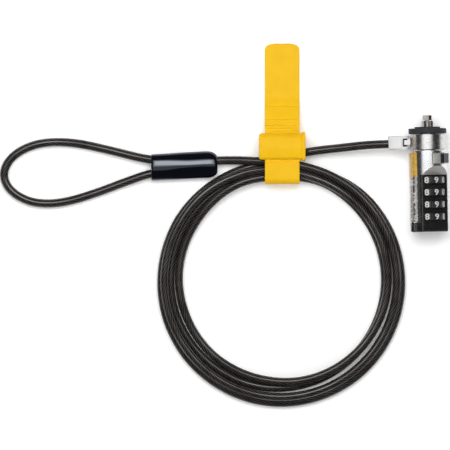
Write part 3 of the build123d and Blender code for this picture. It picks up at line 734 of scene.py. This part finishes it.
def add_band(material):
    """The long band: rounded edges, a rounded free end and fine grooves across it by the buckle."""
    line = [Vector(BAND_LINE[0])]
    for corner, radius in zip(zip(BAND_LINE, BAND_LINE[1:], BAND_LINE[2:]), BAND_RADII):
        line += round_corner(*corner, radius, 0.5)
    line.append(Vector(BAND_LINE[-1]))
    line = fill_gaps(line, 0.25)
    rings = []
    travelled = 0.0
    for i, point in enumerate(line):
        ahead = (line[min(i + 1, len(line) - 1)] - line[max(i - 1, 0)]).normalized()
        out = Vector((ahead.y, -ahead.x))
        travelled += (point - line[max(i - 1, 0)]).length
        groove = 0.0
        if travelled < GROOVED_LENGTH:
            groove = max(GROOVE_DEEP * math.exp(-((point.x - at) / GROOVE_WIDE) ** 2) for at in GROOVES)
        ring = []
        for across, away in band_section(band_half_width(travelled), groove):
            place = point + out * away
            ring.append(on_strap(across, place.x, place.y))
        rings.append(ring)
    points, faces = loft(rings)
    piece = mesh_piece("strap_band_rubber", points, faces, material, "cable")
    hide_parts("strap_band")
    return piece


def buckle_outline():
    """The buckle's bulging side view, as a closed line of points."""
    count = len(BUCKLE_LINE)
    outline = []
    for i, radius in enumerate(BUCKLE_RADII):
        corner = BUCKLE_LINE[i - 1], BUCKLE_LINE[i], BUCKLE_LINE[(i + 1) % count]
        outline += round_corner(*corner, radius, 0.6)
    return outline


def bar_rings(outline, start, end, grow, edge):
    """Rings of a bar across the strap with this side view, its ends rounded by edge."""
    middle = sum(outline, Vector((0, 0))) / len(outline)
    rings = []
    turns = [math.pi / 2 * k / BAR_EDGE_STEPS for k in range(BAR_EDGE_STEPS + 1)]
    places = sorted((start + edge * (1 - math.sin(t)), edge * (1 - math.cos(t))) for t in turns)
    places += sorted((end - (across - start), inset) for across, inset in places)
    for across, inset in places:
        ring = []
        for point in outline:
            away = point - middle
            scale = 1 + (grow - inset) / away.length
            ring.append(on_strap(across, *(middle + away * scale)))
        rings.append(ring)
    return rings


def add_buckle(material):
    """The rolled bar that the band is drawn through, with the raised flange at its right end."""
    outline = buckle_outline()
    points, faces = loft(bar_rings(outline, BUCKLE_FROM, BUCKLE_TO, 0.0, BUCKLE_EDGE))
    more, others = loft(bar_rings(outline, FLANGE_FROM, FLANGE_TO, FLANGE_OUT, FLANGE_EDGE))
    count = len(points)
    points += more
    faces += [tuple(count + v for v in face) for face in others]
    piece = mesh_piece("strap_buckle_rubber", points, faces, material, "cable")
    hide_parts("strap_buckle")
    return piece


rubber = strap_rubber()
band = add_band(rubber)
buckle = add_buckle(rubber)

# ---- light and floor ------------------------------------------------------------------------------
# name, width, nearest and farthest edge along Y, radiance, seen in shiny things: these add up
PANELS = [("overhead_soft", 1.5, -0.28, 0.76, 1.15, False), ("overhead", 1.5, -0.28, 0.76, 0.5, True),
          ("overhead_inner", 1.2, 0.03, 0.66, 1.35, True), ("overhead_core", 0.9, 0.10, 0.57, 1.65, True),
          ("overhead_heart", 0.55, 0.16, 0.50, 1.8, True)]
PANELS_X = -0.15
PANELS_UP = 1.05
PANEL_DROP = 0.01           # each panel hangs a little under the one before it
FILL_SIDES = (2.4, 1.6)
FILL_PLACE = (-0.12, -1.1, 1.3)
FILL_AIM = (-0.12, -0.1, 0)
FILL_POWER = 9
SKY = [(0.05, 0.75), (0.16, 0.05), (0.8, 0.03)]     # the share of the way up, and how bright it is there
FLOOR_HALF = 3.0
FLOOR_UNDER = 0.2 * MM      # it lies this far under the table's plane


def add_light(name, sides, place, aim, power, mirrored):
    """A soft panel of light, which shiny things mirror or not."""
    data = bpy.data.lights.new(name, "AREA")
    data.shape = "RECTANGLE"
    data.size, data.size_y = sides
    data.energy = power
    lamp = bpy.data.objects.new(name, data)
    lamp.location = place
    lamp.visible_glossy = mirrored
    lamp.rotation_euler = (Vector(aim) - Vector(place)).to_track_quat("-Z", "Y").to_euler()
    bpy.context.collection.objects.link(lamp)


def add_studio():
    """A dim room with a pale horizon, lit by a big softbox overhead that fades out at its edges."""
    world = bpy.data.worlds.new("studio")
    world.use_nodes = True
    tree = world.node_tree
    place = tree.nodes.new("ShaderNodeTexCoord")
    split = tree.nodes.new("ShaderNodeSeparateXYZ")
    ramp = tree.nodes.new("ShaderNodeValToRGB")
    tree.links.new(place.outputs["Generated"], split.inputs["Vector"])
    tree.links.new(split.outputs["Z"], ramp.inputs["Fac"])
    stops = ramp.color_ramp.elements
    stops.remove(stops[1])
    stops[0].position = SKY[0][0]
    stops[0].color = (SKY[0][1],) * 3 + (1,)
    for at, level in SKY[1:]:
        stops.new(at).color = (level, level, level, 1)
    tree.links.new(ramp.outputs["Color"], tree.nodes["Background"].inputs["Color"])
    bpy.context.scene.world = world
    for i, (name, width, near, far, glow, mirrored) in enumerate(PANELS):
        middle = (near + far) / 2
        power = glow * math.pi * width * (far - near)
        add_light(name, (width, far - near), (PANELS_X, middle, PANELS_UP - PANEL_DROP * i),
                  (PANELS_X, middle, 0), power, mirrored)
    add_light("fill", FILL_SIDES, FILL_PLACE, FILL_AIM, FILL_POWER, False)


def add_floor():
    """A white table, a little brighter than its light makes it."""
    mesh = bpy.data.meshes.new("floor")
    corners = [(-1, -1), (1, -1), (1, 1), (-1, 1)]
    mesh.from_pydata([(x * FLOOR_HALF, y * FLOOR_HALF, TABLE_Z - FLOOR_UNDER) for x, y in corners], [],
                     [(0, 1, 2, 3)])
    paint = Paint("floor", (0.96, 0.96, 0.96), 0.8, Specular_IOR_Level=0.1,
                  Emission_Color=(1, 1, 1, 1), Emission_Strength=0.13)
    mesh.materials.append(paint.material)
    floor = bpy.data.objects.new("floor", mesh)
    bpy.context.collection.objects.link(floor)


add_studio()
add_floor()
bpy.context.scene.view_settings.view_transform = "Standard"
